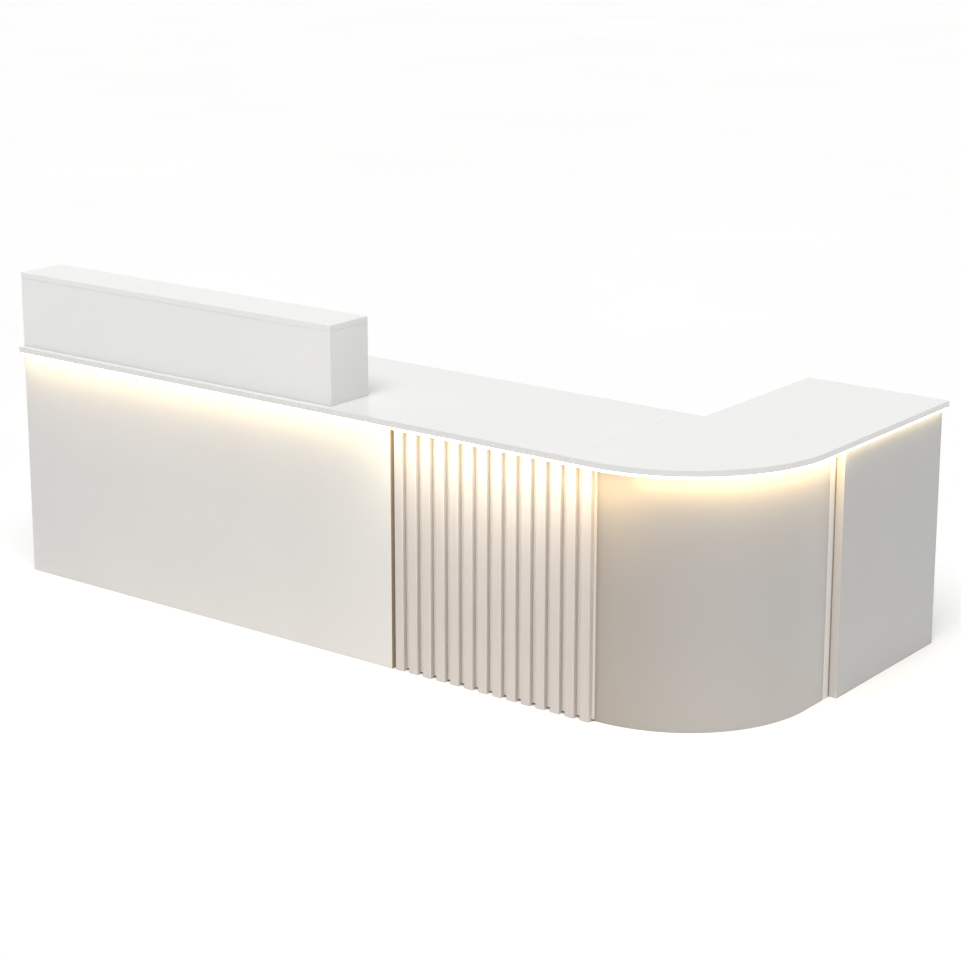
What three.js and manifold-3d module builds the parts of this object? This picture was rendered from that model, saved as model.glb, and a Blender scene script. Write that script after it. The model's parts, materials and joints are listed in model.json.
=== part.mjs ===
// An L-shaped checkout counter: a long main run, a rounded corner and a short return.
// Millimetres, +Z up. Inside the main group x runs along the customer side from the left end,
// y runs from the customer-side fascia face towards the staff side, and z rises from the floor.

import * as THREE from "three";
import { mergeVertices } from "three/addons/utils/BufferGeometryUtils.js";
import Module from "manifold-3d";

const wasm = await Module();
wasm.setup();

// Overall sizes
const COUNTER_LENGTH = 2672;
const COUNTER_DEPTH = 1170;
const WORKTOP_HEIGHT = 750;
const WORKTOP_THICKNESS = 18;
const OVERHANG = 22;
const MAIN_TOP_DEPTH = 582;
const RETURN_TOP_WIDTH = 468;
const TOP_CORNER_RADIUS = 458;
const WORKTOP_SEAM_X = 2140;

// Boards
const BOARD = 18;
const THIN_BOARD = 15;
const BACK_BOARD = 9;
const GAP = 0.3;
const BASE_LIFT = 20;

// Riser box on the worktop
const RISER_LENGTH = 1292;
const RISER_DEPTH = 168;
const RISER_HEIGHT = 238;

// Customer-side skins
const FASCIA_LENGTH = 1512;
const FASCIA_THICKNESS = 25;
const BACKING_THICKNESS = 6;
const BACKING_LIFT = 6;
const SLAT_COUNT = 14;
const SLAT_PITCH = 50;
const SLAT_WIDTH = 30;
const SLAT_START_X = 1523;
const SLAT_SETBACK = 2;
const BACKING_END_X = 2209.7;
const STILE_WIDTH = 27;
const SHADOW_GAP = 7;
const RETURN_FASCIA_START_Y = 575;

// Light strips in the overhang
const STRIP_WIDTH = 12;
const STRIP_HEIGHT = 8;
const STRIP_INSET = 5;

// Pedestal with two drawers over an open bay
const PEDESTAL_X = 880;
const PEDESTAL_WIDTH = 450;
const CARCASS_SETBACK = 12;
const BAY_HEIGHT = 340;
const REVEAL = 3;
const SIDE_REVEAL = 1;
const DRAWER_FRONT_HEIGHT = 182;
const DRAWER_BOX_HEIGHT = 130;
const DRAWER_BOX_LENGTH = 440;
const DRAWER_WALL = 12;
const DRAWER_BASE = 9;
const SLIDE_WIDTH = 12.2;
const SLIDE_HEIGHT = 45;
const SLIDE_LENGTH = 460;
const SLIDE_WALL = 1.5;
const SLIDE_LIP = 9;
const RUNNER_DEPTH = 10;
const RUNNER_HEIGHT = 26;

// Return cupboard
const DOOR_SETBACK = 8;
const DOOR_CLEARANCE = 1.5;
const DOOR_EDGE_GAP = 2;
const FLOOR_CLEARANCE = 12;
const TOP_CLEARANCE = 4;
const SHELF_HEIGHT = 360;
const HINGE_RADIUS = 3.5;
const HINGE_LEAF = 1.2;
const HINGE_LEAF_WIDTH = 21;
const HINGE_END_MARGIN = 30;

// Bar handles
const HANDLE_LENGTH = 140;
const HANDLE_STANDOFF = 28;
const HANDLE_BAR = 8;
const HANDLE_WIDTH = 10;
const DOOR_HANDLE_HEIGHT = 560;
const DOOR_HANDLE_INSET = 24;

// Light driver
const DRIVER_LENGTH = 190;
const DRIVER_WIDTH = 48;
const DRIVER_HEIGHT = 30;
const DRIVER_X = 1880;
const DRIVER_Y = 80;
const DRIVER_EAR = 14;
const INLET_SIZE = 20;

// Curve quality
const QUARTER_SEGMENTS = 48;
const ROUND_SEGMENTS = 16;

// Places that follow from the sizes above
const UNDERSIDE = WORKTOP_HEIGHT - WORKTOP_THICKNESS;
const PANEL_TOP = UNDERSIDE - GAP;
const BACK_EDGE_Y = MAIN_TOP_DEPTH - OVERHANG;
const RETURN_INNER_X = COUNTER_LENGTH - RETURN_TOP_WIDTH;
const RETURN_FACE_X = COUNTER_LENGTH - OVERHANG;
const RETURN_END_Y = COUNTER_DEPTH - OVERHANG;
const ARC_X = COUNTER_LENGTH - TOP_CORNER_RADIUS;
const ARC_Y = TOP_CORNER_RADIUS - OVERHANG;
const SKIN_RADIUS = TOP_CORNER_RADIUS - OVERHANG - FASCIA_THICKNESS;
const SKIN_X = ARC_X + SKIN_RADIUS;
const CARCASS_FRONT_Y = FASCIA_THICKNESS + GAP;
const CARCASS_INNER_Y = CARCASS_FRONT_Y + THIN_BOARD + GAP;
const CARCASS_BACK_Y = BACK_EDGE_Y - CARCASS_SETBACK;
const MAIN_RIGHT_X = WORKTOP_SEAM_X - BOARD;
const DOOR_X = RETURN_INNER_X + DOOR_SETBACK;
const CUPBOARD_X = DOOR_X + BOARD + DOOR_CLEARANCE;
const CUPBOARD_END_X = SKIN_X - BACK_BOARD - GAP;
const STILE_END_Y = RETURN_FASCIA_START_Y - SHADOW_GAP;
const STILE_START_Y = STILE_END_Y - STILE_WIDTH;
const FRONT_TOP = UNDERSIDE - TOP_CLEARANCE;

function paint(color, roughness, metalness = 0) {
  return new THREE.MeshStandardMaterial({ color, roughness, metalness });
}

const worktopWhite = paint(0xeeeeec, 0.18);
const riserWhite = paint(0xe8e8e6, 0.35);
const glossLacquer = paint(0xdad7d2, 0.08);
const returnLacquer = paint(0xc8c8c5, 0.08);
const slatLacquer = paint(0xdcd2c8, 0.4);
const cornerLacquer = paint(0xd2c8bf, 0.12);
const carcassWhite = paint(0xe4e3e0, 0.5);
const drawerGrey = paint(0xc9c7c2, 0.55);
const satinSteel = paint(0xb9bbbd, 0.3, 1);
const satinAluminium = paint(0xc8c9ca, 0.35, 1);
const lightStripWhite = paint(0xfff1cf, 0.6);
const driverBlack = paint(0x2b2c2e, 0.6);

function named(name, geometry, material) {
  const mesh = new THREE.Mesh(geometry, material);
  mesh.name = name;
  return mesh;
}

// A flat board between two opposite corners.
function board(name, material, from, to) {
  const size = from.map((low, axis) => to[axis] - low);
  const middle = from.map((low, axis) => (low + to[axis]) / 2);
  const mesh = named(name, new THREE.BoxGeometry(...size), material);
  mesh.position.set(...middle);
  return mesh;
}

// A plan outline raised from one height to another.
function raised(name, material, shape, bottom, top) {
  const geometry = new THREE.ExtrudeGeometry(shape, {
    depth: top - bottom,
    bevelEnabled: false,
    curveSegments: QUARTER_SEGMENTS,
  });
  const mesh = named(name, geometry, material);
  mesh.position.z = bottom;
  return mesh;
}

// A plan outline of constant width round the corner: a straight, a quarter circle and a straight.
function cornerBand(startX, endY, outerRadius, innerRadius) {
  const shape = new THREE.Shape();
  shape.moveTo(startX, ARC_Y - outerRadius);
  shape.lineTo(ARC_X, ARC_Y - outerRadius);
  shape.absarc(ARC_X, ARC_Y, outerRadius, -Math.PI / 2, 0, false);
  shape.lineTo(ARC_X + outerRadius, endY);
  shape.lineTo(ARC_X + innerRadius, endY);
  shape.lineTo(ARC_X + innerRadius, ARC_Y);
  shape.absarc(ARC_X, ARC_Y, innerRadius, 0, -Math.PI / 2, true);
  shape.lineTo(startX, ARC_Y - innerRadius);
  shape.closePath();
  return shape;
}

// A plan outline of a rectangle with its customer-side right corner rounded.
function roundedCornerPlan(startX, endY, radius) {
  const shape = new THREE.Shape();
  shape.moveTo(startX, ARC_Y - radius);
  shape.lineTo(ARC_X, ARC_Y - radius);
  shape.absarc(ARC_X, ARC_Y, radius, -Math.PI / 2, 0, false);
  shape.lineTo(ARC_X + radius, endY);
  shape.lineTo(startX, endY);
  shape.closePath();
  return shape;
}

function toSolid(geometry) {
  const bare = geometry.clone();
  bare.deleteAttribute("normal");
  bare.deleteAttribute("uv");
  const merged = mergeVertices(bare, 1e-4);
  const mesh = new wasm.Mesh({
    numProp: 3,
    vertProperties: new Float32Array(merged.attributes.position.array),
    triVerts: new Uint32Array(merged.index.array),
  });
  return new wasm.Manifold(mesh);
}

function toGeometry(solid) {
  const mesh = solid.getMesh();
  const geometry = new THREE.BufferGeometry();
  geometry.setAttribute("position", new THREE.BufferAttribute(mesh.vertProperties, 3));
  geometry.setIndex(new THREE.BufferAttribute(mesh.triVerts, 1));
  const flat = geometry.toNonIndexed();
  flat.computeVertexNormals();
  return flat;
}

function boxBetween(from, to) {
  const size = from.map((low, axis) => to[axis] - low);
  const middle = from.map((low, axis) => (low + to[axis]) / 2);
  return new THREE.BoxGeometry(...size).translate(...middle);
}

// Worktop in three pieces, butted along two seams.
function makeWorktop() {
  const group = new THREE.Group();
  group.add(
    board(
      "worktop_main",
      worktopWhite,
      [0, -OVERHANG, UNDERSIDE],
      [WORKTOP_SEAM_X - GAP, BACK_EDGE_Y, WORKTOP_HEIGHT],
    ),
  );
  const cornerPlan = roundedCornerPlan(WORKTOP_SEAM_X, BACK_EDGE_Y - GAP, TOP_CORNER_RADIUS);
  group.add(raised("worktop_corner", worktopWhite, cornerPlan, UNDERSIDE, WORKTOP_HEIGHT));
  group.add(
    board(
      "worktop_return",
      worktopWhite,
      [RETURN_INNER_X, BACK_EDGE_Y, UNDERSIDE],
      [COUNTER_LENGTH, RETURN_END_Y, WORKTOP_HEIGHT],
    ),
  );
  return group;
}

// Riser box on the left of the worktop: a screen towards the customer, open towards the staff.
function makeRiser() {
  const group = new THREE.Group();
  group.position.z = WORKTOP_HEIGHT;
  const underTop = RISER_HEIGHT - BOARD - GAP;
  group.add(board("riser_front_board", riserWhite, [0, 0, GAP], [RISER_LENGTH, BOARD, underTop]));
  group.add(
    board(
      "riser_top_board",
      riserWhite,
      [0, 0, RISER_HEIGHT - BOARD],
      [RISER_LENGTH, RISER_DEPTH, RISER_HEIGHT],
    ),
  );
  const ends = { riser_left_end: 0, riser_right_end: RISER_LENGTH - BOARD };
  for (const [name, x] of Object.entries(ends)) {
    group.add(board(name, riserWhite, [x, BOARD + GAP, GAP], [x + BOARD, RISER_DEPTH, underTop]));
  }
  return group;
}

// Gloss fascia, slats on their backing, bent corner skin with its end stile, and the return's fascia.
function makeSkins() {
  const group = new THREE.Group();
  group.add(
    board("front_fascia", glossLacquer, [0, 0, 0], [FASCIA_LENGTH, FASCIA_THICKNESS, PANEL_TOP]),
  );
  const backingY = FASCIA_THICKNESS - BACKING_THICKNESS;
  group.add(
    board(
      "slat_backing",
      slatLacquer,
      [FASCIA_LENGTH + GAP, backingY, BACKING_LIFT],
      [BACKING_END_X, FASCIA_THICKNESS - GAP, PANEL_TOP],
    ),
  );
  for (let i = 0; i < SLAT_COUNT; i++) {
    const x = SLAT_START_X + i * SLAT_PITCH;
    const name = "front_slat_" + String(i + 1).padStart(2, "0");
    group.add(
      board(name, slatLacquer, [x, SLAT_SETBACK, 0], [x + SLAT_WIDTH, backingY - GAP, PANEL_TOP]),
    );
  }
  const skinPlan = cornerBand(
    WORKTOP_SEAM_X + GAP,
    STILE_START_Y - GAP,
    SKIN_RADIUS,
    SKIN_RADIUS - BACK_BOARD,
  );
  group.add(raised("corner_skin", cornerLacquer, skinPlan, 0, PANEL_TOP));
  group.add(
    board(
      "corner_end_stile",
      slatLacquer,
      [SKIN_X - BACK_BOARD, STILE_START_Y, 0],
      [SKIN_X, STILE_END_Y, PANEL_TOP],
    ),
  );
  group.add(
    board(
      "return_fascia",
      returnLacquer,
      [SKIN_X, RETURN_FASCIA_START_Y, 0],
      [RETURN_FACE_X, RETURN_END_Y, PANEL_TOP],
    ),
  );
  return group;
}

// Sleeved light strips held up against the worktop's underside, a little behind its edge.
function makeLights() {
  const group = new THREE.Group();
  const top = PANEL_TOP;
  const bottom = top - STRIP_HEIGHT;
  const outerY = STRIP_INSET - OVERHANG;
  group.add(
    board(
      "light_strip_main",
      lightStripWhite,
      [STRIP_INSET, outerY, bottom],
      [WORKTOP_SEAM_X - GAP, outerY + STRIP_WIDTH, top],
    ),
  );
  const outerRadius = TOP_CORNER_RADIUS - STRIP_INSET;
  const plan = cornerBand(WORKTOP_SEAM_X, BACK_EDGE_Y - GAP, outerRadius, outerRadius - STRIP_WIDTH);
  group.add(raised("light_strip_corner", lightStripWhite, plan, bottom, top));
  const outerX = COUNTER_LENGTH - STRIP_INSET;
  group.add(
    board(
      "light_strip_return",
      lightStripWhite,
      [outerX - STRIP_WIDTH, BACK_EDGE_Y, bottom],
      [outerX, RETURN_END_Y - STRIP_INSET, top],
    ),
  );
  group.add(makeDriver());
  return group;
}

// Light driver: a slim case with two screw ears and a mains inlet on its end.
function makeDriver() {
  const top = PANEL_TOP;
  const bottom = top - DRIVER_HEIGHT;
  const endX = DRIVER_X + DRIVER_LENGTH;
  const middleY = DRIVER_Y + DRIVER_WIDTH / 2;
  const half = INLET_SIZE / 2;
  const middleZ = (bottom + top) / 2;
  const ear = { low: top - 3, width: DRIVER_WIDTH / 4 };
  let solid = toSolid(boxBetween([DRIVER_X, DRIVER_Y, bottom], [endX, DRIVER_Y + DRIVER_WIDTH, top]));
  const ears = boxBetween(
    [DRIVER_X - DRIVER_EAR, middleY - ear.width, ear.low],
    [endX + DRIVER_EAR, middleY + ear.width, top],
  );
  solid = solid.add(toSolid(ears));
  const inlet = boxBetween(
    [DRIVER_X - half, middleY - half, bottom + 4],
    [DRIVER_X + half, middleY + half, middleZ + 4],
  );
  solid = solid.add(toSolid(inlet));
  return named("light_driver", toGeometry(solid), driverBlack);
}

// Upright boards that carry the main run, and the board behind its fascia and slats.
function makeMainCarcass() {
  const group = new THREE.Group();
  group.add(
    board(
      "left_end_board",
      carcassWhite,
      [0, CARCASS_FRONT_Y, 0],
      [BOARD, CARCASS_BACK_Y, PANEL_TOP],
    ),
  );
  group.add(
    board(
      "main_right_board",
      carcassWhite,
      [MAIN_RIGHT_X, CARCASS_FRONT_Y, 0],
      [WORKTOP_SEAM_X, CARCASS_BACK_Y, PANEL_TOP],
    ),
  );
  group.add(
    board(
      "front_carcass_board",
      carcassWhite,
      [BOARD + GAP, CARCASS_FRONT_Y, 0],
      [MAIN_RIGHT_X - GAP, CARCASS_FRONT_Y + THIN_BOARD, PANEL_TOP],
    ),
  );
  return group;
}

// A U-shaped bar handle: its feet stand on y = 0, its bar stands off towards +Y, and it runs along x.
function handleGeometry() {
  const half = HANDLE_LENGTH / 2;
  const shape = new THREE.Shape();
  shape.moveTo(-half, 0);
  shape.lineTo(-half + HANDLE_BAR, 0);
  shape.lineTo(-half + HANDLE_BAR, HANDLE_STANDOFF - HANDLE_BAR);
  shape.lineTo(half - HANDLE_BAR, HANDLE_STANDOFF - HANDLE_BAR);
  shape.lineTo(half - HANDLE_BAR, 0);
  shape.lineTo(half, 0);
  shape.lineTo(half, HANDLE_STANDOFF);
  shape.lineTo(-half, HANDLE_STANDOFF);
  shape.closePath();
  const geometry = new THREE.ExtrudeGeometry(shape, { depth: HANDLE_WIDTH, bevelEnabled: false });
  return geometry.translate(0, 0, -HANDLE_WIDTH / 2);
}

// A drawer slide's C-section channel, open towards +X and running along +Y.
function slideGeometry() {
  const low = -SLIDE_HEIGHT / 2;
  const high = SLIDE_HEIGHT / 2;
  const shape = new THREE.Shape();
  shape.moveTo(0, low);
  shape.lineTo(SLIDE_WIDTH, low);
  shape.lineTo(SLIDE_WIDTH, low + SLIDE_LIP);
  shape.lineTo(SLIDE_WIDTH - SLIDE_WALL, low + SLIDE_LIP);
  shape.lineTo(SLIDE_WIDTH - SLIDE_WALL, low + SLIDE_WALL);
  shape.lineTo(SLIDE_WALL, low + SLIDE_WALL);
  shape.lineTo(SLIDE_WALL, high - SLIDE_WALL);
  shape.lineTo(SLIDE_WIDTH - SLIDE_WALL, high - SLIDE_WALL);
  shape.lineTo(SLIDE_WIDTH - SLIDE_WALL, high - SLIDE_LIP);
  shape.lineTo(SLIDE_WIDTH, high - SLIDE_LIP);
  shape.lineTo(SLIDE_WIDTH, high);
  shape.lineTo(0, high);
  shape.closePath();
  const geometry = new THREE.ExtrudeGeometry(shape, { depth: SLIDE_LENGTH, bevelEnabled: false });
  return geometry.rotateX(Math.PI / 2).translate(0, SLIDE_LENGTH, 0);
}

// A drawer's open-topped box with a runner along each side, measured from the drawer front's corner.
function drawerBoxGeometry() {
  const left = BOARD + SLIDE_WIDTH + 2 * GAP;
  const right = PEDESTAL_WIDTH - left;
  const middle = DRAWER_FRONT_HEIGHT / 2;
  const low = middle - DRAWER_BOX_HEIGHT / 2;
  const high = middle + DRAWER_BOX_HEIGHT / 2;
  const outside = boxBetween([left, -DRAWER_BOX_LENGTH, low], [right, -GAP, high]);
  const inside = boxBetween(
    [left + DRAWER_WALL, DRAWER_WALL - DRAWER_BOX_LENGTH, low + DRAWER_BASE],
    [right - DRAWER_WALL, -GAP - DRAWER_WALL, high + DRAWER_BASE],
  );
  const runners = boxBetween(
    [left - RUNNER_DEPTH, -DRAWER_BOX_LENGTH, middle - RUNNER_HEIGHT / 2],
    [right + RUNNER_DEPTH, -GAP, middle + RUNNER_HEIGHT / 2],
  );
  return toGeometry(toSolid(outside).add(toSolid(runners)).subtract(toSolid(inside)));
}

// One drawer at rest: front, box, handle, and its two slides on the pedestal's sides.
function makeDrawer(name, bottom) {
  const group = new THREE.Group();
  group.position.set(0, CARCASS_BACK_Y - BOARD, bottom);
  group.add(
    board(
      name + "_front",
      carcassWhite,
      [SIDE_REVEAL, 0, 0],
      [PEDESTAL_WIDTH - SIDE_REVEAL, BOARD, DRAWER_FRONT_HEIGHT],
    ),
  );
  group.add(named(name + "_box", drawerBoxGeometry(), drawerGrey));
  const handle = named(name + "_handle", handleGeometry(), satinAluminium);
  handle.position.set(PEDESTAL_WIDTH / 2, BOARD + GAP, DRAWER_FRONT_HEIGHT / 2);
  group.add(handle);
  const leftSlide = named(name + "_slide_left", slideGeometry(), satinSteel);
  leftSlide.position.set(BOARD + GAP, -SLIDE_LENGTH - 2 * GAP, DRAWER_FRONT_HEIGHT / 2);
  group.add(leftSlide);
  const rightSlide = named(name + "_slide_right", slideGeometry().rotateZ(Math.PI), satinSteel);
  rightSlide.position.set(PEDESTAL_WIDTH - BOARD - GAP, -2 * GAP, DRAWER_FRONT_HEIGHT / 2);
  group.add(rightSlide);
  return group;
}

// Pedestal under the main worktop: two drawers above an open bay for a computer.
function makePedestal() {
  const group = new THREE.Group();
  group.position.x = PEDESTAL_X;
  const backY = CARCASS_BACK_Y - BOARD - GAP;
  const sides = { pedestal_left_board: 0, pedestal_right_board: PEDESTAL_WIDTH - BOARD };
  for (const [name, x] of Object.entries(sides)) {
    group.add(board(name, carcassWhite, [x, CARCASS_INNER_Y, 0], [x + BOARD, backY, PANEL_TOP]));
  }
  group.add(
    board(
      "pedestal_shelf",
      carcassWhite,
      [BOARD + GAP, CARCASS_INNER_Y, BAY_HEIGHT],
      [PEDESTAL_WIDTH - BOARD - GAP, backY, BAY_HEIGHT + BOARD],
    ),
  );
  const upper = FRONT_TOP - DRAWER_FRONT_HEIGHT;
  const lower = upper - REVEAL - DRAWER_FRONT_HEIGHT;
  group.add(makeDrawer("upper_drawer", upper));
  group.add(makeDrawer("lower_drawer", lower));
  return group;
}

// Corner frame: two ribs that the bent skin is glued round, closed by the board behind them.
function makeCornerFrame() {
  const group = new THREE.Group();
  const dividerY = CARCASS_BACK_Y - BOARD;
  const ribStartX = WORKTOP_SEAM_X + GAP;
  const ribPlan = roundedCornerPlan(ribStartX, dividerY - GAP, SKIN_RADIUS - BACK_BOARD - GAP);
  const ribs = { corner_rib_bottom: BASE_LIFT, corner_rib_top: PANEL_TOP - BOARD };
  for (const [name, z] of Object.entries(ribs)) {
    group.add(raised(name, carcassWhite, ribPlan, z, z + BOARD));
  }
  group.add(
    board(
      "corner_back_board",
      carcassWhite,
      [ribStartX, dividerY, 0],
      [CUPBOARD_END_X, CARCASS_BACK_Y, PANEL_TOP],
    ),
  );
  return group;
}

// A continuous hinge: a round knuckle with the leaf that is screwed to the carcass.
// The leaf runs from the knuckle towards +X on the side given by leafSide, +1 for +Y and -1 for -Y.
function hingeGeometry(leafSide) {
  const low = FLOOR_CLEARANCE + HINGE_END_MARGIN;
  const high = FRONT_TOP - HINGE_END_MARGIN;
  const middle = (low + high) / 2;
  const knuckle = new THREE.CylinderGeometry(HINGE_RADIUS, HINGE_RADIUS, high - low, ROUND_SEGMENTS);
  knuckle.rotateX(Math.PI / 2).translate(0, 0, middle);
  const outer = leafSide * (HINGE_RADIUS + GAP / 2);
  const inner = outer - leafSide * HINGE_LEAF;
  const leaf = boxBetween(
    [0, Math.min(outer, inner), low],
    [HINGE_LEAF_WIDTH, Math.max(outer, inner), high],
  );
  return toGeometry(toSolid(knuckle).add(toSolid(leaf)));
}

// One cupboard door, its handle and its hinge. hingeY is the cupboard's side wall face,
// and swing is +1 where the door lies on the +Y side of its hinge and -1 where it lies on the -Y side.
function makeDoor(name, hingeY, freeY, swing) {
  const group = new THREE.Group();
  const edgeY = hingeY + swing * DOOR_EDGE_GAP;
  const lowY = Math.min(edgeY, freeY);
  const highY = Math.max(edgeY, freeY);
  group.add(
    board(name, carcassWhite, [DOOR_X, lowY, FLOOR_CLEARANCE], [DOOR_X + BOARD, highY, FRONT_TOP]),
  );
  const handle = named(name + "_handle", handleGeometry(), satinAluminium);
  handle.rotation.set(0, -Math.PI / 2, Math.PI / 2, "ZYX");
  handle.position.set(DOOR_X - GAP, freeY - swing * DOOR_HANDLE_INSET, DOOR_HANDLE_HEIGHT);
  group.add(handle);
  const hinge = named(name + "_hinge", hingeGeometry(-swing), satinSteel);
  hinge.position.set(DOOR_X - HINGE_RADIUS - GAP, hingeY + swing * (HINGE_RADIUS + 2 * GAP), 0);
  group.add(hinge);
  return group;
}

// Return cupboard: side walls, back, bottom and shelf, closed by a pair of doors on the staff side.
function makeReturnCupboard() {
  const group = new THREE.Group();
  const endY = RETURN_END_Y - BOARD;
  const innerY = CARCASS_BACK_Y;
  group.add(
    board(
      "return_end_board",
      carcassWhite,
      [DOOR_X, endY, 0],
      [SKIN_X - GAP, RETURN_END_Y, PANEL_TOP],
    ),
  );
  group.add(
    board(
      "return_back_board",
      carcassWhite,
      [SKIN_X - BACK_BOARD, STILE_END_Y + GAP, 0],
      [SKIN_X - GAP, endY - GAP, PANEL_TOP],
    ),
  );
  const levels = { return_bottom_board: BASE_LIFT, return_shelf: SHELF_HEIGHT };
  for (const [name, z] of Object.entries(levels)) {
    group.add(
      board(
        name,
        carcassWhite,
        [CUPBOARD_X, innerY + GAP, z],
        [CUPBOARD_END_X, endY - GAP, z + BOARD],
      ),
    );
  }
  const middleY = (innerY + endY) / 2;
  group.add(makeDoor("return_door_inner", innerY, middleY - 1, 1));
  group.add(makeDoor("return_door_outer", endY, middleY + 1, -1));
  return group;
}

const counter = new THREE.Group();
counter.add(makeWorktop());
counter.add(makeRiser());
counter.add(makeSkins());
counter.add(makeLights());
counter.add(makeMainCarcass());
counter.add(makePedestal());
counter.add(makeCornerFrame());
counter.add(makeReturnCupboard());

// The part's own frame starts on the floor, under the middle of the whole counter.
counter.position.set(-COUNTER_LENGTH / 2, OVERHANG - COUNTER_DEPTH / 2, 0);

const part = new THREE.Group();
part.add(counter);

export default part;
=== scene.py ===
"""The looks of the checkout counter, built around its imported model."""

import json
import math

import bmesh
import bpy
from mathutils import Matrix, Vector


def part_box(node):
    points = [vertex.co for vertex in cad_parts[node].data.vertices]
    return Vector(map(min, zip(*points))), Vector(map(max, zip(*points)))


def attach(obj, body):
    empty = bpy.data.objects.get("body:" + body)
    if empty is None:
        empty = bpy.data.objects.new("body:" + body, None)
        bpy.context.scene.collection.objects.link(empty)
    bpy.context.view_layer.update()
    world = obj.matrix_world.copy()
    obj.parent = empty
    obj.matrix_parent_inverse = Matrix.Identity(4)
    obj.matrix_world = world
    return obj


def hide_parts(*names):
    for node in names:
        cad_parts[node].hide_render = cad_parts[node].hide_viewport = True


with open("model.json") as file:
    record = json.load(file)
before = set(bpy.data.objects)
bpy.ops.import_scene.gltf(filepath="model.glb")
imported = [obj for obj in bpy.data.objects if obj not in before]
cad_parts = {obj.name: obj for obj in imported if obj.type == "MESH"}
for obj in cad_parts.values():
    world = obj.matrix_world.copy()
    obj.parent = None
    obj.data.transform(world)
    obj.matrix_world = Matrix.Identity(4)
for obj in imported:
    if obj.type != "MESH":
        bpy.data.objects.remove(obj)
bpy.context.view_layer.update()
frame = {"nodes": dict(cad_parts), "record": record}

MM = 0.001
NODES = frame["nodes"]
SCENE = bpy.context.scene

# Camera: where it stands and where it looks, in the frame's metres and degrees.
CAMERA_PLACE = (4.408, -5.666, 2.481)
CAMERA_AZIMUTH = 37.46
CAMERA_ELEVATION = 13.84
CAMERA_LENS = 90.85
CAMERA_SHIFT_Y = -0.1
CAMERA_CLIP_END = 200

# Light. The backdrop is the low, bright part of the sky behind the counter: it fades in between two
# heights and two depths of the sky's own direction. Seen by itself, the sky is as white as the floor.
SKY_COLOR = (1.0, 0.995, 0.985)
SKY_STRENGTH = 0.35
BACKDROP_STRENGTH = 0.95
BACKDROP_HEIGHTS = (0.8, 0.3)
BACKDROP_DEPTHS = (-0.1, 0.5)
SEEN_STRENGTH = 1.0
SUN_FROM = (0.2, -0.42, 0.88)
SUN_STRENGTH = 2.4
SUN_ANGLE = 40
FLOOR_SIZE = 120.0
FLOOR_TONES = ((0.91, 0.91, 0.91), (0.93, 0.93, 0.93))
FLOOR_ROUGHNESS = 0.7

# The light strips: the sleeve's own glow, and the lamps that throw its light on the panels below.
# A lamp hangs off the panel by its reach: the further off, the further down its light goes. Its watts
# are for each metre of its length.
SLEEVE_COLOR = (1.0, 0.85, 0.6)
SLEEVE_STRENGTH = 3.5
LAMP_WIDTH = 8 * MM
LAMP_DROP = 1 * MM
PANEL_GLOW = (1.0, 0.74, 0.38)
SLAT_GLOW = (1.0, 0.93, 0.66)
NEAR_REACH = 12 * MM
NEAR_WATTS = 0.22
RETURN_WATTS = 0.24
FASCIA_REACH = 40 * MM
FASCIA_WATTS = 0.64
SLAT_TOP_REACH = 35 * MM
SLAT_TOP_WATTS = 0.7
SLAT_REACH = 110 * MM
SLAT_WATTS = 2.1
CORNER_REACH = 36 * MM
CORNER_WATTS = 1.6
CORNER_START_REACH = 75 * MM
CORNER_START_WATTS = 2.7
CORNER_LAMPS = 6
EDGE_REACH = 75 * MM
EDGE_WATTS = 2.4
WORKTOP_CORNER_RADIUS = 458 * MM
SKIN_RADIUS = 411 * MM

# Edges and rounds
ARRIS = 0.8 * MM
SLAT_ARRIS = 2.2 * MM
ARRIS_SEGMENTS = 3
FITTING_ARRIS = 0.25 * MM
CAP_ARRIS = 0.15 * MM
HINGE_ARRIS = 0.12 * MM
SCREW_ARRIS = 0.1 * MM
FITTING_SEGMENTS = 2
SHARP_ANGLE = math.radians(25)
FLAT_ANGLE = math.radians(0.3)
WELD_GAP = 0.01 * MM
NORMAL_WEIGHT = 80
ROUND_SIDES = 24

# Patterns of the materials: how many features there are to the metre, and how much detail they have
CLOUDS = (2.2, 4.0)
GLOSS_PATCHES = (9.0, 5.0)
ORANGE_PEEL = (420.0, 2.0)
SLAT_LINES = (330.0, 2.0)
SLAT_CLOUDS = (3.0, 3.0)
SLEEVE_CELLS = (60.0, 2.0)
BRUSHED_LINES = (900.0, 3.0)
METAL_PATCHES = (30.0, 3.0)
FLOOR_CLOUDS = (0.6, 3.0)
NOISE_SPAN = (0.3, 0.7)
PEEL_HEIGHT = 0.2 * MM
SLAT_LINE_HEIGHT = 0.1 * MM
SLAT_LINE_BUMP = 0.05
BRUSHED_HEIGHT = 0.05 * MM
BRUSHED_BUMP = 0.12

# Finishes: roughnesses, and shares that a roughness or a colour varies by
GLOSS_SPREAD = (0.88, 1.14)
METAL_SPREAD = (0.75, 1.3)
COAT_ROUGHNESS = 0.03
CORNER_GLOSS = (0.13, 0.2)
SLAT_GLOSS = (0.3, 0.42)
SLAT_VARIATION = 0.035
# Painted highlight: how much lighter the slats' arrises are coloured.
ARRIS_HIGHLIGHT_SHARE = 1.14
DULL_SHARE = 0.94
SLEEVE_ROUGHNESS = 0.5

# The faces that a band of painted light or shade colours: where it fades in and is full, from -1 to 1
# along an axis, and whether both of the axis's ways count
PLUS_FACES = (0.5, 0.8, False)
MINUS_FACES = (-0.5, -0.8, False)
SIDE_FACES = (0.75, 0.45, True)
# Where the painted highlight on the slats' arrises goes, along X and along Y
ARRIS_HIGHLIGHT_FACES = (0.12, 0.5, True)

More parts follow.
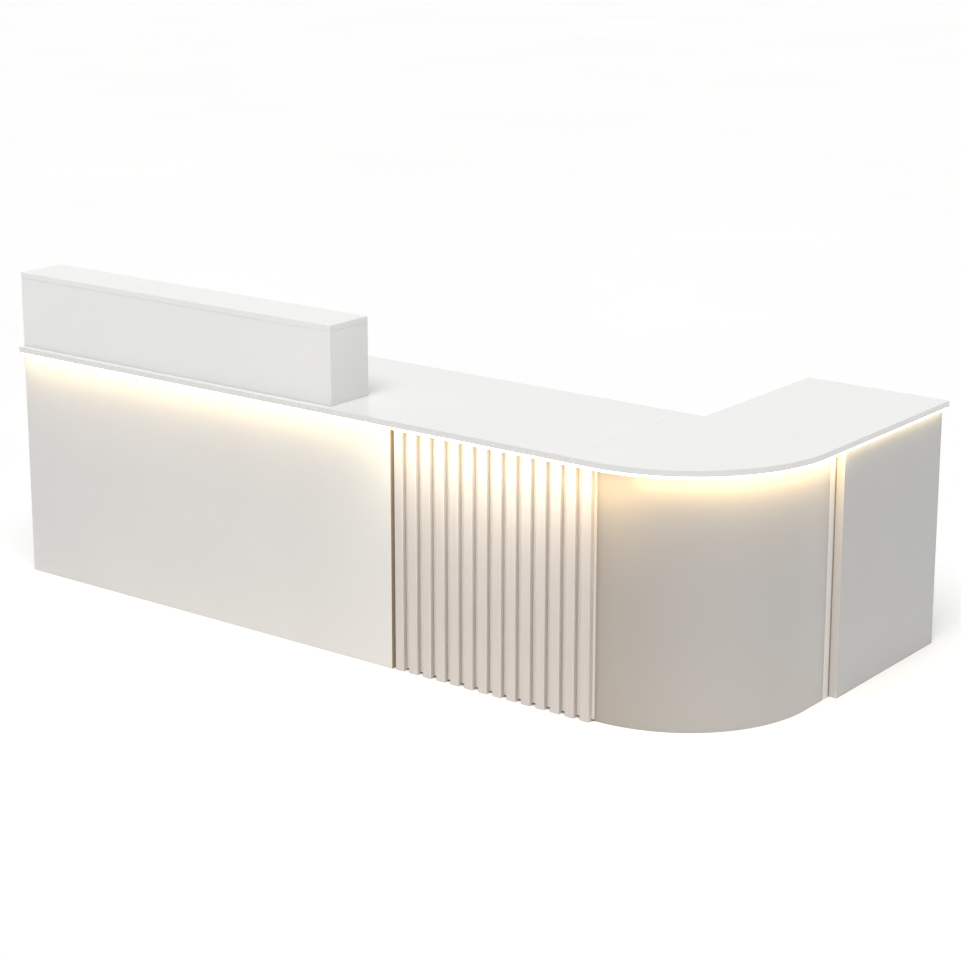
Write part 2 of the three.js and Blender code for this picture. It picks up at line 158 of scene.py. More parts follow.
# Continuous hinges. Each leaf lies between two offsets from the hinge's axis, towards the wall.
KNUCKLES = 32
KNUCKLE_RADIUS = 3.5 * MM
KNUCKLE_GAP = 0.3 * MM
PIN_RADIUS = 1.7 * MM
PIN_TIP_RADIUS = 1.02 * MM
PIN_END = 0.8 * MM
WALL_LEAF = (2.95 * MM, 3.5 * MM)
DOOR_LEAF = (2.2 * MM, 2.75 * MM)
LEAF_START = 3.8 * MM
LEAF_SCREW_INSET = 12.5 * MM
LEAF_SCREW_PITCH = 90 * MM

# Drawer boxes and the slide rails on their sides
RUNNER_DEPTH = 10 * MM
RAIL_HEIGHT = 26 * MM
RAIL_WALL = 1.4 * MM
RAIL_LIP = 4 * MM
RAIL_SCREWS = 4
DRAWER_WALL = 12 * MM
DRAWER_BASE = 6 * MM
DRAWER_BASE_LIFT = 3 * MM
JOINT = 0.15 * MM

# Screws, shelf pins and cam caps. A head or a pin is its radius and its height, and the outlines of
# a screw's head and of a cap are shares of these.
PAN_HEAD = (3.6 * MM, 2.2 * MM)
LOW_HEAD = (3.0 * MM, 0.9 * MM)
FLUSH_HEAD = (2.6 * MM, 0.15 * MM)
HEAD_OUTLINE = [(1, 0), (1, 0.35), (0.88, 0.78), (0.68, 1)]
RECESS_ARM = 0.55
RECESS_HALF_WIDTH = 0.14
RECESS_FLOOR = (0.9, 0.2)
HANDLE_FOOT = 4 * MM
FRONT_SCREW_INSET = 34 * MM
PIN_HEAD = (3.4 * MM, 1.2 * MM)
SHELF_PIN = (2.5 * MM, 9 * MM)
SHELF_PIN_INSET = 45 * MM
CAP_OUTLINE = [(1, 0), (1, 0.55), (0.94, 1), (0.3, 1), (0.22, 0.6)]
CAP_SIDES = 32
CAP_RADIUS = 8.5 * MM
CAP_HEIGHT = 0.9 * MM
CAP_INSET = 34 * MM
CAPS_ALONG = 3


def node_material(name):
    """A new material with an empty Principled surface: its tree and its shader."""
    material = bpy.data.materials.new(name)
    material.use_nodes = True
    tree = material.node_tree
    return material, tree, tree.nodes["Principled BSDF"]


def object_noise(tree, pattern, stretch=(1, 1, 1)):
    """Noise in the object's own metres, in one of the patterns, stretched along its axes."""
    scale, detail = pattern
    place = tree.nodes.new("ShaderNodeTexCoord")
    mapping = tree.nodes.new("ShaderNodeMapping")
    noise = tree.nodes.new("ShaderNodeTexNoise")
    mapping.inputs["Scale"].default_value = stretch
    noise.inputs["Scale"].default_value = scale
    noise.inputs["Detail"].default_value = detail
    tree.links.new(place.outputs["Object"], mapping.inputs["Vector"])
    tree.links.new(mapping.outputs["Vector"], noise.inputs["Vector"])
    return noise.outputs["Fac"]


def mapped(tree, value, start, end, low=0.0, high=1.0):
    """A value carried from the range start to end onto the range low to high."""
    node = tree.nodes.new("ShaderNodeMapRange")
    node.inputs["From Min"].default_value = start
    node.inputs["From Max"].default_value = end
    node.inputs["To Min"].default_value = low
    node.inputs["To Max"].default_value = high
    tree.links.new(value, node.inputs["Value"])
    return node.outputs["Result"]


def along(tree, vector, axis):
    """A vector's part along an axis."""
    split = tree.nodes.new("ShaderNodeSeparateXYZ")
    tree.links.new(vector, split.inputs["Vector"])
    return split.outputs[axis]


def product(tree, first, second):
    """Two values multiplied."""
    node = tree.nodes.new("ShaderNodeMath")
    node.operation = "MULTIPLY"
    tree.links.new(first, node.inputs[0])
    tree.links.new(second, node.inputs[1])
    return node.outputs["Value"]


def between(tree, value, low, high):
    """A value near the noise's middle, spread from low to high."""
    return mapped(tree, value, *NOISE_SPAN, low, high)


def color_between(tree, value, low, high):
    """A colour that goes from low to high with a value near the noise's middle."""
    mix = tree.nodes.new("ShaderNodeMix")
    mix.data_type = "RGBA"
    mix.inputs["A"].default_value = (*low, 1)
    mix.inputs["B"].default_value = (*high, 1)
    tree.links.new(between(tree, value, 0, 1), mix.inputs["Factor"])
    return mix.outputs["Result"]


def bump(tree, height, strength, distance):
    """The normal that a height makes."""
    node = tree.nodes.new("ShaderNodeBump")
    node.inputs["Strength"].default_value = strength
    node.inputs["Distance"].default_value = distance
    tree.links.new(height, node.inputs["Height"])
    return node.outputs["Normal"]


def shaded(color, share):
    return tuple(c * share for c in color)


def spread_of(color, share):
    """The darker and the lighter colour that a share above and below makes."""
    return shaded(color, 1 - share), shaded(color, 1 + share)


def facing(tree, axis, low, high, both):
    """How squarely the surface faces along an axis: 0 up to low, 1 from high on."""
    geometry = tree.nodes.new("ShaderNodeNewGeometry")
    side = along(tree, geometry.outputs["Normal"], axis)
    if both:
        size = tree.nodes.new("ShaderNodeMath")
        size.operation = "ABSOLUTE"
        tree.links.new(side, size.inputs[0])
        side = size.outputs["Value"]
    return mapped(tree, side, low, high)


def mixed(tree, share, first, second):
    """The first, linked colour where share is 0, and the second, plain one where it is 1."""
    mix = tree.nodes.new("ShaderNodeMix")
    mix.data_type = "RGBA"
    tree.links.new(share, mix.inputs["Factor"])
    tree.links.new(first, mix.inputs["A"])
    mix.inputs["B"].default_value = (*second, 1)
    return mix.outputs["Result"]


def lay_gloss(tree, shader, tint, roughness, peel, coat):
    """Gives a shader its tint, uneven gloss between two roughnesses, orange peel and a clear coat."""
    gloss = between(tree, object_noise(tree, GLOSS_PATCHES), *roughness)
    normal = bump(tree, object_noise(tree, ORANGE_PEEL), peel, PEEL_HEIGHT)
    tree.links.new(tint, shader.inputs["Base Color"])
    tree.links.new(gloss, shader.inputs["Roughness"])
    tree.links.new(normal, shader.inputs["Normal"])
    shader.inputs["Coat Weight"].default_value = coat
    shader.inputs["Coat Roughness"].default_value = COAT_ROUGHNESS


def lacquer(name, color, roughness, variation=0.02, peel=0.04, coat=0.0, band=None):
    """Sprayed lacquer on board: faint clouding, uneven gloss and a fine orange peel.

    A band is (colour, axis, low, high, both): painted light or shade, the colour where the surface
    faces along the axis.
    """
    material, tree, shader = node_material(name)
    tint = color_between(tree, object_noise(tree, CLOUDS), *spread_of(color, variation))
    if band:
        tint = mixed(tree, facing(tree, *band[1:]), tint, band[0])
    lay_gloss(tree, shader, tint, [roughness * share for share in GLOSS_SPREAD], peel, coat)
    return material


def corner_lacquer(name, warm, neutral):
    """The bent skin's gloss lacquer, its colour painted with light and shade: warm and darker beside the
    slats, neutral and lighter towards the return.
    """
    material, tree, shader = node_material(name)
    low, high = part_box("corner_skin")
    place = tree.nodes.new("ShaderNodeTexCoord")
    # Painted light and shade: along X the colour goes from the warm, darker one beside the slats to the
    # neutral, lighter one.
    painted_light_drift = mapped(tree, along(tree, place.outputs["Object"], "X"), low[0], high[0])
    painted_light_drift.node.interpolation_type = "SMOOTHSTEP"
    tint = color_between(tree, object_noise(tree, CLOUDS), *spread_of(warm, 0.02))
    tint = mixed(tree, painted_light_drift, tint, neutral)
    lay_gloss(tree, shader, tint, CORNER_GLOSS, peel=0.02, coat=0.2)
    return material


def glowing(name, color, glow, strength):
    """Frosted silicone with the light inside it."""
    material, tree, shader = node_material(name)
    tint = color_between(tree, object_noise(tree, SLEEVE_CELLS), shaded(color, DULL_SHARE), color)
    tree.links.new(tint, shader.inputs["Base Color"])
    shader.inputs["Roughness"].default_value = SLEEVE_ROUGHNESS
    shader.inputs["Emission Color"].default_value = (*glow, 1)
    shader.inputs["Emission Strength"].default_value = strength
    return material


def metal(name, color, roughness, stretch):
    """Brushed metal: its lines run along the axis that stretch holds down."""
    material, tree, shader = node_material(name)
    lines = object_noise(tree, BRUSHED_LINES, stretch)
    tint = color_between(tree, object_noise(tree, METAL_PATCHES), shaded(color, DULL_SHARE), color)
    gloss = between(tree, lines, *(roughness * share for share in METAL_SPREAD))
    tree.links.new(tint, shader.inputs["Base Color"])
    tree.links.new(gloss, shader.inputs["Roughness"])
    tree.links.new(bump(tree, lines, BRUSHED_BUMP, BRUSHED_HEIGHT), shader.inputs["Normal"])
    shader.inputs["Metallic"].default_value = 1.0
    return material


def slat_lacquer(name, color):
    """Satin lacquer on a planed slat: fine lines run along it, and its arrises carry a painted highlight.
    """
    material, tree, shader = node_material(name)
    lines = object_noise(tree, SLAT_LINES, (1, 1, 0.01))
    # Painted highlight: the arrises between the slat's front and sides are coloured lighter.
    arris_highlight = product(tree, facing(tree, "X", *ARRIS_HIGHLIGHT_FACES), facing(tree, "Y", *ARRIS_HIGHLIGHT_FACES))
    tint = color_between(tree, lines, *spread_of(color, SLAT_VARIATION))
    tint = mixed(tree, arris_highlight, tint, shaded(color, ARRIS_HIGHLIGHT_SHARE))
    gloss = between(tree, object_noise(tree, SLAT_CLOUDS), *SLAT_GLOSS)
    tree.links.new(tint, shader.inputs["Base Color"])
    tree.links.new(gloss, shader.inputs["Roughness"])
    tree.links.new(bump(tree, lines, SLAT_LINE_BUMP, SLAT_LINE_HEIGHT), shader.inputs["Normal"])
    return material


def make_materials():
    """A material for each of the record's slots, three nodes with one of their own, and the caps."""
    # Painted shade: the worktop's edge band is coloured darker than its top, on its vertical faces.
    edge_band_shade = ((0.69, 0.69, 0.68), "Z", *SIDE_FACES)
    # Painted highlight: the riser's top faces are coloured lighter than its sides.
    riser_top_highlight = ((0.82, 0.82, 0.812), "Z", *PLUS_FACES)
    # Painted shade: the fascia's end face, in the gap beside the slats, is coloured dark brown.
    fascia_end_shade = ((0.36, 0.27, 0.2), "X", *PLUS_FACES)
    # Painted light: the return fascia's front-facing edge is coloured warm and lighter, where the strips'
    # glow falls on it.
    return_edge_glow = ((0.565, 0.535, 0.515), "Y", *MINUS_FACES)
    stile_back = ((0.78, 0.777, 0.767), "X", *MINUS_FACES)
    # Painted shade: the front carcass board's front face, seen through the gaps at the slats, is coloured
    # nearly black.
    front_gap_shade = ((0.12, 0.1, 0.085), "Y", *MINUS_FACES)
    # Painted shade: the return back board's face in the shadow gap is coloured dark brown.
    back_gap_shade = ((0.36, 0.3, 0.245), "X", *PLUS_FACES)
    board_white = (0.8, 0.797, 0.787)
    board = {"roughness": 0.42, "peel": 0.12}
    gloss = {"roughness": 0.1, "peel": 0.015, "coat": 0.3}
    plain = {"variation": 0.012}
    return {
        "worktop_lacquer": lacquer(
            "worktop_lacquer", (0.775, 0.775, 0.767), 0.16, peel=0.02, band=edge_band_shade, **plain
        ),
        "riser_lacquer": lacquer(
            "riser_lacquer", (0.765, 0.765, 0.757), 0.35, peel=0.03, band=riser_top_highlight, **plain
        ),
        "gloss_lacquer": lacquer("gloss_lacquer", (0.61, 0.604, 0.594), band=fascia_end_shade, **gloss),
        # Painted shade: the return's gloss lacquer is a darker copy of the fascia's.
        "return_lacquer": lacquer("return_lacquer", (0.418, 0.417, 0.41), band=return_edge_glow, **gloss),
        "slat_lacquer": slat_lacquer("slat_lacquer", (0.53, 0.49, 0.482)),
        "slat_backing": lacquer("slat_backing", (0.68, 0.63, 0.57), 0.4),
        # Painted shade and light: the bent skin's lacquer is a darker copy of the fascia's, warmer beside
        # the slats.
        "corner_lacquer": corner_lacquer("corner_lacquer", (0.345, 0.31, 0.28), (0.43, 0.415, 0.4)),
        "corner_end_stile": lacquer("stile_lacquer", (0.69, 0.67, 0.66), 0.35, band=stile_back),
        "carcass_board": lacquer("carcass_board", board_white, **board),
        "front_carcass_board": lacquer("front_board", board_white, band=front_gap_shade, **board),
        "return_back_board": lacquer("return_board", board_white, band=back_gap_shade, **board),
        "drawer_board": lacquer("drawer_board", (0.62, 0.61, 0.58), 0.5, peel=0.12),
        "slide_steel": metal("slide_steel", (0.62, 0.63, 0.64), 0.3, (1, 0.03, 1)),
        "hinge_steel": metal("hinge_steel", (0.6, 0.6, 0.6), 0.28, (1, 1, 0.03)),
        "handle_aluminium": metal("handle_aluminium", (0.72, 0.72, 0.73), 0.3, (0.05, 1, 1)),
        "light_sleeve": glowing("light_sleeve", (0.9, 0.86, 0.76), SLEEVE_COLOR, SLEEVE_STRENGTH),
        "driver_case": lacquer("driver_case", (0.03, 0.03, 0.032), 0.5, variation=0.1, peel=0.3),
        "cam_cap": lacquer("cam_cap", (0.74, 0.737, 0.725), 0.35, peel=0.05),
    }


def smooth_group():
    """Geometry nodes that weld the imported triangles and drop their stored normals."""
    group = bpy.data.node_groups.new("clean_solid", "GeometryNodeTree")
    group.interface.new_socket("Geometry", in_out="INPUT", socket_type="NodeSocketGeometry")
    group.interface.new_socket("Geometry", in_out="OUTPUT", socket_type="NodeSocketGeometry")
    start = group.nodes.new("NodeGroupInput").outputs["Geometry"]
    for attribute in ("custom_normal", "sharp_face", "sharp_edge"):
        remove = group.nodes.new("GeometryNodeRemoveAttribute")
        remove.inputs["Name"].default_value = attribute
        group.links.new(start, remove.inputs["Geometry"])
        start = remove.outputs["Geometry"]
    weld = group.nodes.new("GeometryNodeMergeByDistance")
    weld.inputs["Distance"].default_value = WELD_GAP
    group.links.new(start, weld.inputs["Geometry"])
    end = group.nodes.new("NodeGroupOutput")
    group.links.new(weld.outputs["Geometry"], end.inputs["Geometry"])
    return group


def ease(obj, width, segments):
    """Eases an object's sharp edges as sanding and lacquer do, and shades it by its big faces."""
    bevel = obj.modifiers.new("ease", "BEVEL")
    bevel.width = width
    bevel.segments = segments
    bevel.limit_method = "ANGLE"
    bevel.angle_limit = SHARP_ANGLE
    normals = obj.modifiers.new("normals", "WEIGHTED_NORMAL")
    normals.weight = NORMAL_WEIGHT


def ease_node(obj, clean, width):
    """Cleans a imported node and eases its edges."""
    obj.modifiers.new("clean", "NODES").node_group = clean
    flat = obj.modifiers.new("flat", "DECIMATE")
    flat.decimate_type = "DISSOLVE"
    flat.angle_limit = FLAT_ANGLE
    ease(obj, width, ARRIS_SEGMENTS)


def dress_nodes(materials):
    """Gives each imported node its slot's material, or its own, and eases its edges."""
    clean = smooth_group()
    slots = {part["node"]: part["material_slot"] for part in frame["record"]["subparts"]}
    for name, obj in NODES.items():
        obj.data.materials.clear()
        obj.data.materials.append(materials.get(name, materials[slots[name]]))
        ease_node(obj, clean, SLAT_ARRIS if name.startswith("front_slat") else ARRIS)


def stand(origin, axis):
    """A placement whose own Z runs along axis from origin."""
    return Matrix.Translation(origin) @ Vector(axis).to_track_quat("Z", "Y").to_matrix().to_4x4()


def circle(radius, height, sides=ROUND_SIDES):
    """The points of a circle round a placement's Z, at a height along it."""
    turns = (2 * math.pi * i / sides for i in range(sides))
    return [(radius * math.cos(turn), radius * math.sin(turn), height) for turn in turns]


def rings(bm, place, loops):
    """Adds a closed solid: loops of points, each joined to the next, and a cap at both ends."""
    made = [[bm.verts.new(place @ Vector(point)) for point in loop] for loop in loops]
    count = len(made[0])
    for low, high in zip(made, made[1:]):
        for i in range(count):
            j = (i + 1) % count
            bm.faces.new((low[i], low[j], high[j], high[i]))
    bm.faces.new(made[0][::-1])
    bm.faces.new(made[-1])


def prism(bm, place, outline, length):
    """Adds a closed outline carried along the placement's Z."""
    rings(bm, place, [[(u, v, 0) for u, v in outline], [(u, v, length) for u, v in outline]])


def block(bm, low, high):
    """Adds a board between two opposite corners."""
    plan = [(low[0], low[1]), (high[0], low[1]), (high[0], high[1]), (low[0], high[1])]
    prism(bm, Matrix.Translation((0, 0, low[2])), plan, high[2] - low[2])


def screw(bm, origin, axis, head):
    """Adds a screw head with a cross recess, standing on origin and facing along axis."""
    radius, height = head
    arm, half = radius * RECESS_ARM, radius * RECESS_HALF_WIDTH
    quarter = [(arm, -half), (arm, half), (half, half)]
    cross = []
    for _ in range(4):
        cross += quarter
        quarter = [(-v, u) for u, v in quarter]
    steps = (math.radians(30 * i - 15) for i in range(len(cross)))
    around = [(radius * math.cos(step), radius * math.sin(step)) for step in steps]

    def loop(points, size, share):
        return [(u * size, v * size, height * share) for u, v in points]

    head_loops = [loop(around, size, share) for size, share in HEAD_OUTLINE]
    rings(bm, stand(origin, axis), [*head_loops, loop(cross, 1, 1), loop(cross, *RECESS_FLOOR)])


def fitting(name, bm, body, material, width=FITTING_ARRIS):
    """Makes a piece of a bmesh's solids, with eased edges, that rides on a body."""
    bmesh.ops.recalc_face_normals(bm, faces=bm.faces)
    mesh = bpy.data.meshes.new(name)
    bm.to_mesh(mesh)
    bm.free()
    mesh.materials.append(material)
    for polygon in mesh.polygons:
        polygon.use_smooth = True
    piece = bpy.data.objects.new(name, mesh)
    SCENE.collection.objects.link(piece)
    ease(piece, width, FITTING_SEGMENTS)
    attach(piece, body)
    return piece


def knuckle_outline(near, far):
    """A knuckle and the tab that joins it to its leaf: u runs along the leaf, v towards the wall."""
    first = math.asin(far / KNUCKLE_RADIUS)
    last = 2 * math.pi + math.asin(near / KNUCKLE_RADIUS)
    turns = [first + (last - first) * i / ROUND_SIDES for i in range(ROUND_SIDES + 1)]
    round_part = [(KNUCKLE_RADIUS * math.cos(turn), KNUCKLE_RADIUS * math.sin(turn)) for turn in turns]
    end = LEAF_START + KNUCKLE_GAP
    return [(end, near), (end, far), *round_part]


def make_hinge(side, wall_way, door_body, steel):
    """A continuous hinge: the wall's leaf and the door's leaf take its knuckles in turn.

    wall_way is +1 where the wall lies on the hinge's +Y side and -1 where it lies on the other.
    """
    node = f"return_door_{side}_hinge"
    low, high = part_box(node)
    axis_x = low[0] + KNUCKLE_RADIUS
    axis_y = low[1] + KNUCKLE_RADIUS if wall_way > 0 else high[1] - KNUCKLE_RADIUS
    pitch = (high[2] - low[2]) / KNUCKLES

    def leaf(offsets, first, screw_face, screw_way):
        """A leaf's flat with its screws, and every other knuckle from the first on."""
        bm = bmesh.new()
        back, front = sorted(axis_y + wall_way * offset for offset in offsets)
        block(bm, (axis_x + LEAF_START, back, low[2]), (high[0], front, high[2]))
        for i in range(first, KNUCKLES, 2):
            place = Matrix.Translation((axis_x, axis_y, low[2] + i * pitch + KNUCKLE_GAP / 2))
            place = place @ Matrix.Diagonal((1, wall_way, 1, 1))
            prism(bm, place, knuckle_outline(*offsets), pitch - KNUCKLE_GAP)
        z = low[2] + LEAF_SCREW_PITCH * (1 + first) / 3
        while z < high[2]:
            origin = (axis_x + LEAF_SCREW_INSET, axis_y + wall_way * screw_face, z)
            screw(bm, origin, (0, screw_way, 0), FLUSH_HEAD)
            z += LEAF_SCREW_PITCH
        return bm

    wall = leaf(WALL_LEAF, 0, WALL_LEAF[0], -wall_way)
    pin_end = [circle(PIN_RADIUS, 0), circle(PIN_TIP_RADIUS, PIN_END)]
    for z, way in ((low[2], -1), (high[2] - KNUCKLE_GAP, 1)):
        rings(wall, stand((axis_x, axis_y, z), (0, 0, way)), pin_end)
    piece = fitting(f"{side}_hinge_wall_leaf", wall, "carcass", steel, HINGE_ARRIS)
    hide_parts(node)
    door = leaf(DOOR_LEAF, 1, DOOR_LEAF[1], wall_way)
    fitting(f"{side}_hinge_door_leaf", door, door_body, steel, HINGE_ARRIS)


def rail_outline():
    """A slide rail's section: u runs out from the drawer's side and v upwards."""
    depth, half = RUNNER_DEPTH, RAIL_HEIGHT / 2
    inner = half - RAIL_WALL
    lip = half - RAIL_LIP
    upper = [
        (RAIL_WALL, inner),
        (depth - RAIL_WALL, inner),
        (depth - RAIL_WALL, lip),
        (depth, lip),
        (depth, half),
        (0, half),
    ]
    return upper + [(u, -v) for u, v in reversed(upper)]


def make_drawer_box(drawer, board):
    """A drawer's box of five boards, with the room for a rail left beside it."""
    node = f"{drawer}_box"
    low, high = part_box(node)
    left, right = low[0] + RUNNER_DEPTH, high[0] - RUNNER_DEPTH
    in_left, in_right = left + DRAWER_WALL, right - DRAWER_WALL
    in_back, in_front = low[1] + DRAWER_WALL, high[1] - DRAWER_WALL
    end_left, end_right = in_left + JOINT, in_right - JOINT
    base = low[2] + DRAWER_BASE_LIFT
    bm = bmesh.new()
    block(bm, (left, low[1], low[2]), (in_left, high[1], high[2]))
    block(bm, (in_right, low[1], low[2]), (right, high[1], high[2]))
    block(bm, (end_left, low[1], low[2]), (end_right, in_back, high[2]))
    block(bm, (end_left, in_front, low[2]), (end_right, high[1], high[2]))
    block(bm, (end_left, in_back + JOINT, base), (end_right, in_front - JOINT, base + DRAWER_BASE))
    box = fitting(f"{drawer}_box_boards", bm, drawer, board, ARRIS)
    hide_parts(node)


def make_drawer_rails(drawer, steel):
    """The slide rail along each side of a drawer, screwed to its box."""
    low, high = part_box(f"{drawer}_box")
    middle = (low[2] + high[2]) / 2
    length = high[1] - low[1]
    bm = bmesh.new()
    for side_x, way in ((low[0] + RUNNER_DEPTH, -1), (high[0] - RUNNER_DEPTH, 1)):
        place = Matrix(((way, 0, 0, side_x), (0, 0, 1, low[1]), (0, 1, 0, middle), (0, 0, 0, 1)))
        prism(bm, place, rail_outline(), length)
        for i in range(RAIL_SCREWS):
            along = low[1] + length * (i + 0.5) / RAIL_SCREWS
            screw(bm, (side_x + way * RAIL_WALL, along, middle), (way, 0, 0), LOW_HEAD)
    fitting(f"{drawer}_rails", bm, drawer, steel)


def make_drawer_screws(drawer, steel):
    """The screws inside a drawer: two hold its handle, and four hold its front."""
    low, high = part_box(f"{drawer}_box")
    handle_low, handle_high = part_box(f"{drawer}_handle")
    wall = RUNNER_DEPTH + DRAWER_WALL
    inside_y = high[1] - DRAWER_WALL
    handle_z = (handle_low[2] + handle_high[2]) / 2
    bm = bmesh.new()
    for x in (handle_low[0] + HANDLE_FOOT, handle_high[0] - HANDLE_FOOT):
        screw(bm, (x, inside_y, handle_z), (0, -1, 0), PAN_HEAD)
    for x in (low[0] + wall + FRONT_SCREW_INSET, high[0] - wall - FRONT_SCREW_INSET):
        for z in (low[2] + FRONT_SCREW_INSET, high[2] - FRONT_SCREW_INSET):
            screw(bm, (x, inside_y, z), (0, -1, 0), LOW_HEAD)
    fitting(f"{drawer}_screws", bm, drawer, steel, SCREW_ARRIS)


def make_door_screws(side, body, steel):
    """The two screws that hold a door's handle, on the door's cupboard side."""
    inner_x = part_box(f"return_door_{side}")[1][0]
    low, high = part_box(f"return_door_{side}_handle")
    bm = bmesh.new()
    for z in (low[2] + HANDLE_FOOT, high[2] - HANDLE_FOOT):
        screw(bm, (inner_x, (low[1] + high[1]) / 2, z), (1, 0, 0), LOW_HEAD)
    fitting(f"{side}_door_screws", bm, body, steel, SCREW_ARRIS)


def make_shelf_pins(steel):
    """Four pins with collars that carry the cupboard's shelf."""
    low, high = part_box("return_shelf")
    (head_radius, head_length), (radius, length) = PIN_HEAD, SHELF_PIN
    loops = [
        circle(head_radius, 0),
        circle(head_radius, head_length),
        circle(radius, head_length),
        circle(radius, length),
    ]
    walls = [(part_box("corner_back_board")[1][1], 1), (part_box("return_end_board")[0][1], -1)]
    bm = bmesh.new()
    for x in (low[0] + SHELF_PIN_INSET, high[0] - SHELF_PIN_INSET):
        for y, way in walls:
            rings(bm, stand((x, y, low[2] - head_radius), (0, way, 0)), loops)
    fitting("shelf_pins", bm, "carcass", steel)


def make_cam_caps(plastic):
    """The round covers over the cams that join the boards to each other and to the worktop."""
    loops = [circle(CAP_RADIUS * size, CAP_HEIGHT * share, CAP_SIDES) for size, share in CAP_OUTLINE]
    bm = bmesh.new()

    def cap(origin, axis):
        rings(bm, stand(origin, axis), loops)

    def spread(low, high):
        return [low + (high - low) * (i + 0.5) / CAPS_ALONG for i in range(CAPS_ALONG)]

    front_low, front_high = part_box("front_carcass_board")
    uprights = [
        ("left_end_board", 1),
        ("pedestal_left_board", -1),
        ("pedestal_right_board", 1),
        ("main_right_board", -1),
    ]
    for node, way in uprights:
        low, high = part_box(node)
        face = high[0] if way > 0 else low[0]
        for y in spread(front_high[1], high[1]):
            cap((face, y, high[2] - CAP_INSET), (way, 0, 0))
        for z in spread(front_low[2], front_high[2]):
            cap((face + way * CAP_INSET, front_high[1], z), (0, 1, 0))
    low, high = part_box("return_end_board")
    for x in spread(low[0], high[0]):
        cap((x, low[1], high[2] - CAP_INSET), (0, -1, 0))
    fitting("cam_caps", bm, "carcass", plastic, CAP_ARRIS)


def make_fittings(materials):
    """The hinges, drawer boxes, rails, screws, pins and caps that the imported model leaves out."""
    steel, zinc = materials["hinge_steel"], materials["slide_steel"]
    make_hinge("inner", -1, "inner_door", steel)
    make_hinge("outer", 1, "outer_door", steel)
    for drawer in ("upper_drawer", "lower_drawer"):
        make_drawer_box(drawer, materials["drawer_board"])
        make_drawer_rails(drawer, zinc)
        make_drawer_screws(drawer, zinc)
    make_door_screws("inner", "inner_door", zinc)
    make_door_screws("outer", "outer_door", zinc)
    make_shelf_pins(steel)
    make_cam_caps(materials["cam_cap"])


def soft_sun(name, comes_from, strength, angle):
    """A very wide sun: one big overhead soft box, the same over the whole floor."""
    data = bpy.data.lights.new(name, "SUN")
    data.energy = strength
    data.angle = math.radians(angle)
    light = bpy.data.objects.new(name, data)
    light.rotation_euler = Vector(comes_from).to_track_quat("Z", "Y").to_euler()
    SCENE.collection.objects.link(light)


def lamp(name, start, end, height, watts_per_metre, color):
    """A thin lamp from start to end in plan that shines down. It shows only by what it lights."""
    run = Vector(end) - Vector(start)
    data = bpy.data.lights.new(name, "AREA")
    data.shape = "RECTANGLE"
    data.size = run.length
    data.size_y = LAMP_WIDTH
    data.energy = watts_per_metre * run.length
    data.color = color
    light = bpy.data.objects.new(name, data)
    light.location = (*(Vector(start) + run / 2), height)
    light.rotation_euler = (0, 0, math.atan2(run.y, run.x))
    light.visible_camera = False
    light.visible_glossy = False
    SCENE.collection.objects.link(light)


def make_lamps():
    """The lamps along the customer side: fascia, slats, rounded corner and return."""
    fascia_low, fascia_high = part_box("front_fascia")
    top_low, top_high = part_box("worktop_corner")
    skin_low, skin_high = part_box("corner_skin")
    stile_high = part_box("corner_end_stile")[1]
    return_low, return_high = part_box("return_fascia")
    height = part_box("light_strip_main")[0][2] - LAMP_DROP
    front = fascia_low[1]

    def front_lamp(name, span, face_y, reach, watts, color=PANEL_GLOW):
        start, end = ((x, face_y - reach) for x in span)
        lamp(name, start, end, height, watts, color)

    panels = (fascia_low[0], skin_low[0])
    fascia = (fascia_low[0], fascia_high[0])
    slats = (fascia_high[0], skin_low[0])
    front_lamp("near_front", panels, front, NEAR_REACH, NEAR_WATTS)
    front_lamp("wash_fascia", fascia, front, FASCIA_REACH, FASCIA_WATTS)
    front_lamp("top_slats", slats, front, SLAT_TOP_REACH, SLAT_TOP_WATTS, SLAT_GLOW)
    front_lamp("wash_slats", slats, front, SLAT_REACH, SLAT_WATTS, SLAT_GLOW)

    center = Vector((top_high[0] - WORKTOP_CORNER_RADIUS, top_low[1] + WORKTOP_CORNER_RADIUS))
    corner_start = (CORNER_START_REACH, CORNER_START_WATTS)
    front_lamp("wash_corner_start", (skin_low[0], center.x), skin_low[1], *corner_start)
    step = math.pi / 2 / CORNER_LAMPS
    for i in range(CORNER_LAMPS):
        reach, watts = corner_start if i == 0 else (CORNER_REACH, CORNER_WATTS)
        ends = [
            center + (SKIN_RADIUS + reach) * Vector((math.sin(turn), -math.cos(turn)))
            for turn in (i * step, (i + 1) * step)
        ]
        lamp(f"wash_corner_{i}", *ends, height, watts, PANEL_GLOW)
    side = skin_high[0] + CORNER_REACH
    lamp("wash_corner_end", (side, center.y), (side, stile_high[1]), height, CORNER_WATTS, PANEL_GLOW)
    edge = return_low[1] - EDGE_REACH
    lamp("wash_return_edge", (return_low[0], edge), (return_high[0], edge), height, EDGE_WATTS, PANEL_GLOW)
    side = return_high[0] + NEAR_REACH
    lamp("near_return", (side, return_low[1]), (side, return_high[1]), height, RETURN_WATTS, PANEL_GLOW)


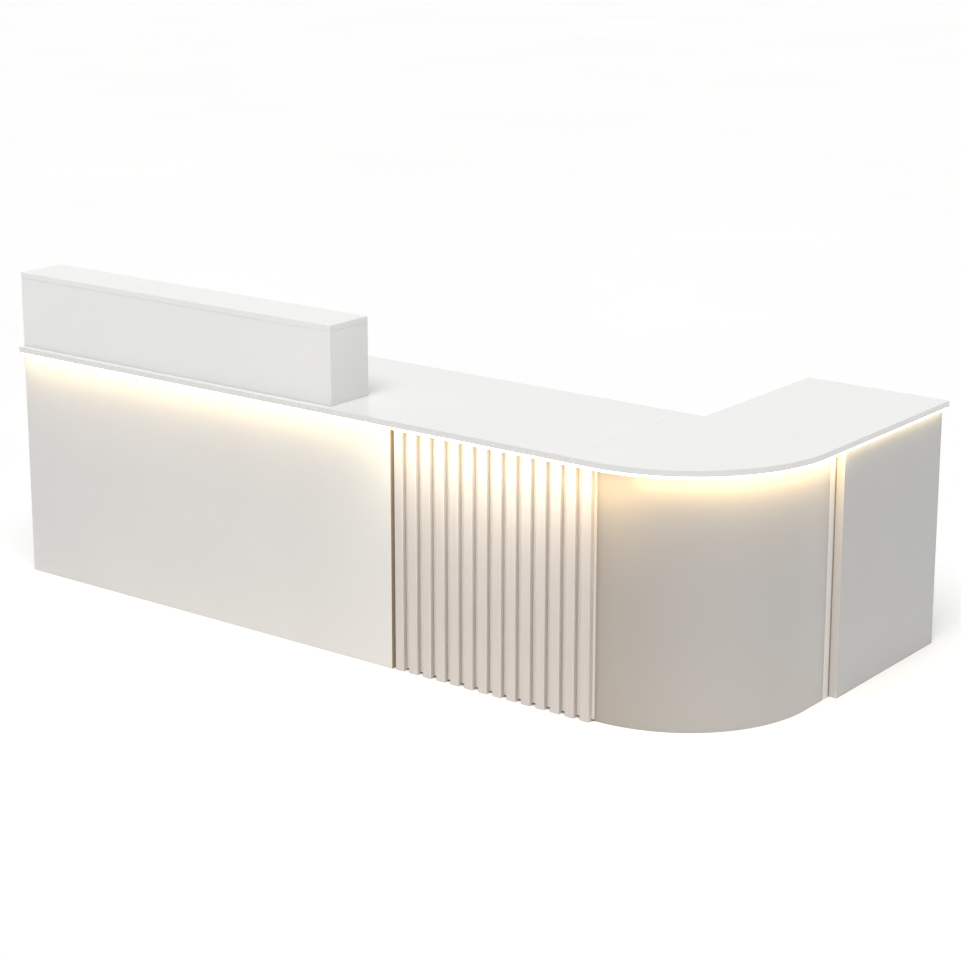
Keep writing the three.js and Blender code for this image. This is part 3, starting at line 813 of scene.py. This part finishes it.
def sky_world():
    """A soft even sky with a brighter backdrop low down behind the counter, white where it is seen."""
    world = bpy.data.worlds.new("sky")
    world.use_nodes = True
    tree = world.node_tree
    sky = tree.nodes["Background"]
    sky.inputs["Color"].default_value = (*SKY_COLOR, 1)
    way = tree.nodes.new("ShaderNodeTexCoord").outputs["Generated"]
    lowness = mapped(tree, along(tree, way, "Z"), *BACKDROP_HEIGHTS)
    behind = mapped(tree, along(tree, way, "Y"), *BACKDROP_DEPTHS)
    backdrop = product(tree, lowness, behind)
    strength = mapped(tree, backdrop, 0, 1, SKY_STRENGTH, BACKDROP_STRENGTH)
    ray = tree.nodes.new("ShaderNodeLightPath")
    seen = tree.nodes.new("ShaderNodeMix")
    seen.inputs["B"].default_value = SEEN_STRENGTH
    tree.links.new(ray.outputs["Is Camera Ray"], seen.inputs["Factor"])
    tree.links.new(strength, seen.inputs["A"])
    tree.links.new(seen.outputs["Result"], sky.inputs["Strength"])
    return world


def make_stage():
    """A plain pale floor under a soft sky and a wide soft key light."""
    SCENE.view_settings.view_transform = "Standard"
    SCENE.world = sky_world()
    bpy.ops.mesh.primitive_plane_add(size=FLOOR_SIZE)
    floor = bpy.context.object
    floor.name = "floor"
    material, tree, shader = node_material("floor_matte")
    tone = color_between(tree, object_noise(tree, FLOOR_CLOUDS), *FLOOR_TONES)
    tree.links.new(tone, shader.inputs["Base Color"])
    shader.inputs["Roughness"].default_value = FLOOR_ROUGHNESS
    floor.data.materials.append(material)
    soft_sun("soft_key", SUN_FROM, SUN_STRENGTH, SUN_ANGLE)
    make_lamps()


def make_camera():
    data = bpy.data.cameras.new("camera")
    data.lens = CAMERA_LENS
    data.shift_y = CAMERA_SHIFT_Y
    data.clip_end = CAMERA_CLIP_END
    camera = bpy.data.objects.new("camera", data)
    camera.location = CAMERA_PLACE
    camera.rotation_euler = (math.radians(90 - CAMERA_ELEVATION), 0, math.radians(CAMERA_AZIMUTH))
    SCENE.collection.objects.link(camera)
    SCENE.camera = camera


make_stage()
make_camera()
materials = make_materials()
dress_nodes(materials)
make_fittings(materials)
